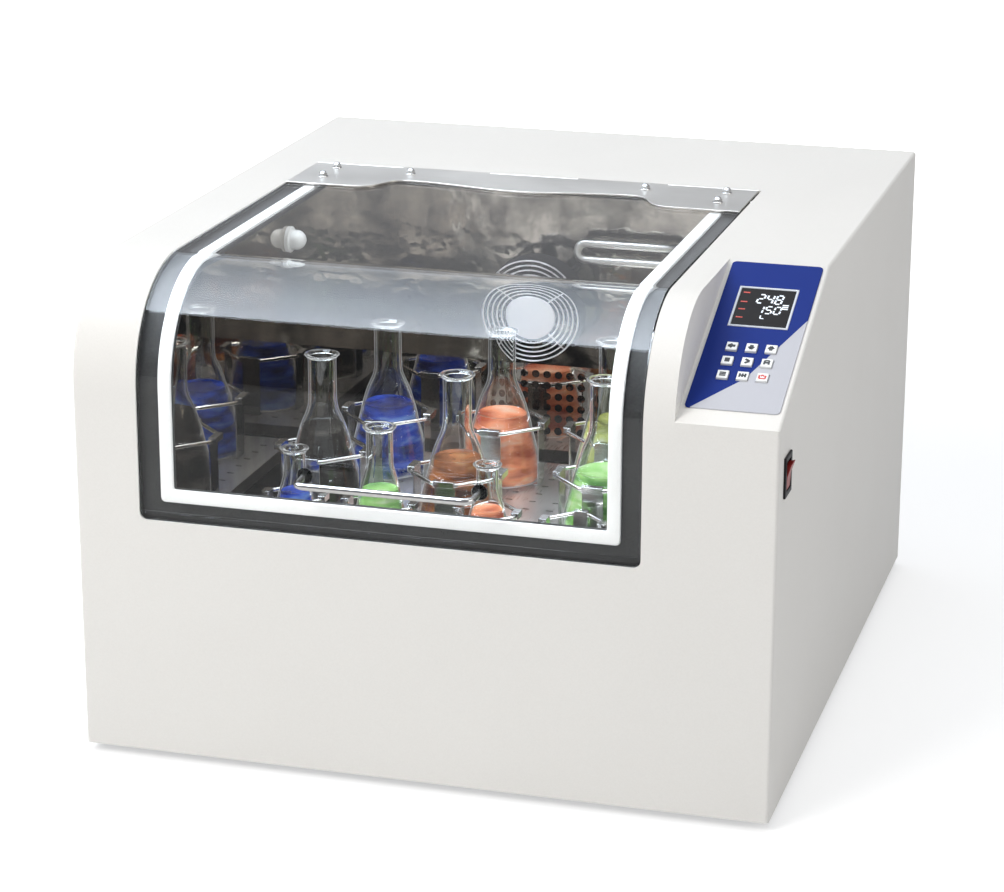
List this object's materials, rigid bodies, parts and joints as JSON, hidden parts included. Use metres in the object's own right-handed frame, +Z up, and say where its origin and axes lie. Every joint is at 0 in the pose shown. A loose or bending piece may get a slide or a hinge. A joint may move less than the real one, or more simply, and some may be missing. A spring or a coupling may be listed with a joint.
{
  "type": "incubated benchtop shaker",
  "caption": "Benchtop incubator with an orbital shaking platform for flasks, a curved clear hinged lid, a fan-heated chamber and a sloped control panel.",
  "frame": {"origin": "centre of the whole footprint, in the plane that the feet stand on", "axes": "+X to the right of someone who faces the lid, +Y from the front to the back, +Z up"},
  "size_m": [0.6054, 0.709, 0.4349],
  "materials": {
    "cabinet_paint": "fine textured powder coat, off-white",
    "pan_steel": "plain zinc-coated sheet",
    "fastener_steel": "satin",
    "foot_rubber": "matt black",
    "frame_plastic": "dark grey",
    "lid_acrylic": "clear, polished",
    "gasket_rubber": "white, soft",
    "hinge_steel": "satin",
    "nut_chrome": "bright",
    "handle_steel": "polished",
    "liner_steel": "bright polished sheet",
    "foam": "closed-cell foam",
    "guard_chrome": "bright wire",
    "fan_plastic": "black",
    "tube_steel": "polished tube",
    "lamp_white": "milky",
    "overlay_blue": "blue and pale grey film",
    "display_grey": "pale grey",
    "screen_dark": "dark window",
    "board_green": "circuit board",
    "switch_black": "black",
    "switch_red": "dark red",
    "inlet_black": "black",
    "deck_steel": "grey",
    "bearing_iron": "plain",
    "crank_steel": "turned",
    "pulley_aluminium": "turned",
    "motor_paint": "black",
    "belt_rubber": "matt black",
    "carrier_aluminium": "plain",
    "tray_steel": "satin",
    "clamp_steel": "bright",
    "flask_glass": "clear, with coloured contents",
    "key_white": "white"
  },
  "bodies": {
    "cabinet": {"housing_shell": "cabinet_paint", "base_pan": "pan_steel", "rear_panel": "cabinet_paint", "panel_screws": "fastener_steel", "rubber_feet": "foot_rubber", "lid_seat_frame": "frame_plastic", "hinge_leaf": "hinge_steel", "hinge_pin": "fastener_steel", "liner_sides": "liner_steel", "liner_front": "liner_steel", "liner_rear": "liner_steel", "chamber_floor": "liner_steel", "insulation_slabs": "foam", "air_duct": "liner_steel", "fan_frame": "fan_plastic", "fan_guard": "guard_chrome", "heating_tube": "tube_steel", "chamber_lamp": "lamp_white", "control_overlay": "overlay_blue", "display_frame": "display_grey", "display_screen": "screen_dark", "control_board": "board_green", "rocker_bezel": "switch_black", "power_inlet": "inlet_black", "drive_deck": "deck_steel", "crank_bearings": "bearing_iron", "motor_body": "motor_paint", "drive_belt": "belt_rubber"},
    "lid": {"lid_window": "lid_acrylic", "lid_gasket": "gasket_rubber", "hinge_plate": "hinge_steel", "dome_nuts": "nut_chrome", "lid_handle": "handle_steel", "handle_washers": "fastener_steel"},
    "crank": {"main_crank": "crank_steel", "driven_pulley": "pulley_aluminium", "counterweight": "bearing_iron"},
    "idler_a": {"idler_crank_1": "crank_steel"},
    "idler_b": {"idler_crank_2": "crank_steel"},
    "motor_rotor": {"motor_pulley": "pulley_aluminium"},
    "platform": {"platform_carrier": "carrier_aluminium", "carrier_bearings": "bearing_iron", "platform_tray": "tray_steel", "clamp_frames": "clamp_steel", "clamp_rings": "clamp_steel", "spare_clamp_frame": "clamp_steel", "spare_clamp_ring": "clamp_steel", "flasks_large": "flask_glass", "flasks_small": "flask_glass"},
    "fan": {"fan_rotor": "fan_plastic"},
    "rocker": {"rocker_button": "switch_red"},
    "key_body_1": {"key_1": "key_white"},
    "key_body_2": {"key_2": "key_white"},
    "key_body_3": {"key_3": "key_white"},
    "key_body_4": {"key_4": "key_white"},
    "key_body_5": {"key_5": "key_white"},
    "key_body_6": {"key_6": "key_white"},
    "key_body_7": {"key_7": "key_white"},
    "key_body_8": {"key_8": "key_white"},
    "key_body_9": {"key_9": "key_white"}
  },
  "joints": [
    {"name": "lid_hinge", "type": "hinge", "parent": "cabinet", "child": "lid", "pos_m": [-0.02975, 0.134, 0.4265], "axis": [-1, 0, 0], "range_deg": [0, 78]},
    {"name": "crank_spin", "type": "hinge", "parent": "cabinet", "child": "crank", "pos_m": [-0.02875, -0.0235, 0.068], "axis": [0, 0, 1], "continuous": true},
    {"name": "platform_heading", "type": "hinge", "parent": "crank", "child": "platform", "pos_m": [-0.01875, -0.0235, 0.153], "axis": [0, 0, 1], "continuous": true},
    {"name": "idler_a_spin", "type": "hinge", "parent": "cabinet", "child": "idler_a", "pos_m": [-0.12875, -0.1735, 0.068], "axis": [0, 0, 1], "continuous": true},
    {"name": "idler_b_spin", "type": "hinge", "parent": "cabinet", "child": "idler_b", "pos_m": [0.07125, -0.1735, 0.068], "axis": [0, 0, 1], "continuous": true},
    {"name": "motor_spin", "type": "hinge", "parent": "cabinet", "child": "motor_rotor", "pos_m": [-0.02875, 0.1915, 0.068], "axis": [0, 0, 1], "continuous": true},
    {"name": "fan_spin", "type": "hinge", "parent": "cabinet", "child": "fan", "pos_m": [-0.01275, 0.0745, 0.316], "axis": [0, 1, 0], "continuous": true},
    {"name": "rocker_tip", "type": "hinge", "parent": "cabinet", "child": "rocker", "pos_m": [0.29725, -0.2915, 0.298], "axis": [0, -1, 0], "range_deg": [0, 20]},
    {"name": "key_1_push", "type": "slide", "parent": "cabinet", "child": "key_body_1", "axis": [0, 0.3879, -0.9217], "range_m": [0, 0.001], "stiffness_N_per_m": 200},
    {"name": "key_2_push", "type": "slide", "parent": "cabinet", "child": "key_body_2", "axis": [0, 0.3879, -0.9217], "range_m": [0, 0.001], "stiffness_N_per_m": 200},
    {"name": "key_3_push", "type": "slide", "parent": "cabinet", "child": "key_body_3", "axis": [0, 0.3879, -0.9217], "range_m": [0, 0.001], "stiffness_N_per_m": 200},
    {"name": "key_4_push", "type": "slide", "parent": "cabinet", "child": "key_body_4", "axis": [0, 0.3879, -0.9217], "range_m": [0, 0.001], "stiffness_N_per_m": 200},
    {"name": "key_5_push", "type": "slide", "parent": "cabinet", "child": "key_body_5", "axis": [0, 0.3879, -0.9217], "range_m": [0, 0.001], "stiffness_N_per_m": 200},
    {"name": "key_6_push", "type": "slide", "parent": "cabinet", "child": "key_body_6", "axis": [0, 0.3879, -0.9217], "range_m": [0, 0.001], "stiffness_N_per_m": 200},
    {"name": "key_7_push", "type": "slide", "parent": "cabinet", "child": "key_body_7", "axis": [0, 0.3879, -0.9217], "range_m": [0, 0.001], "stiffness_N_per_m": 200},
    {"name": "key_8_push", "type": "slide", "parent": "cabinet", "child": "key_body_8", "axis": [0, 0.3879, -0.9217], "range_m": [0, 0.001], "stiffness_N_per_m": 200},
    {"name": "key_9_push", "type": "slide", "parent": "cabinet", "child": "key_body_9", "axis": [0, 0.3879, -0.9217], "range_m": [0, 0.001], "stiffness_N_per_m": 200}
  ],
  "couplings": [
    {"joint": "platform_heading", "follows": "crank_spin", "ratio": -1},
    {"joint": "idler_a_spin", "follows": "crank_spin", "ratio": 1},
    {"joint": "idler_b_spin", "follows": "crank_spin", "ratio": 1},
    {"joint": "motor_spin", "follows": "crank_spin", "ratio": 4}
  ]
}
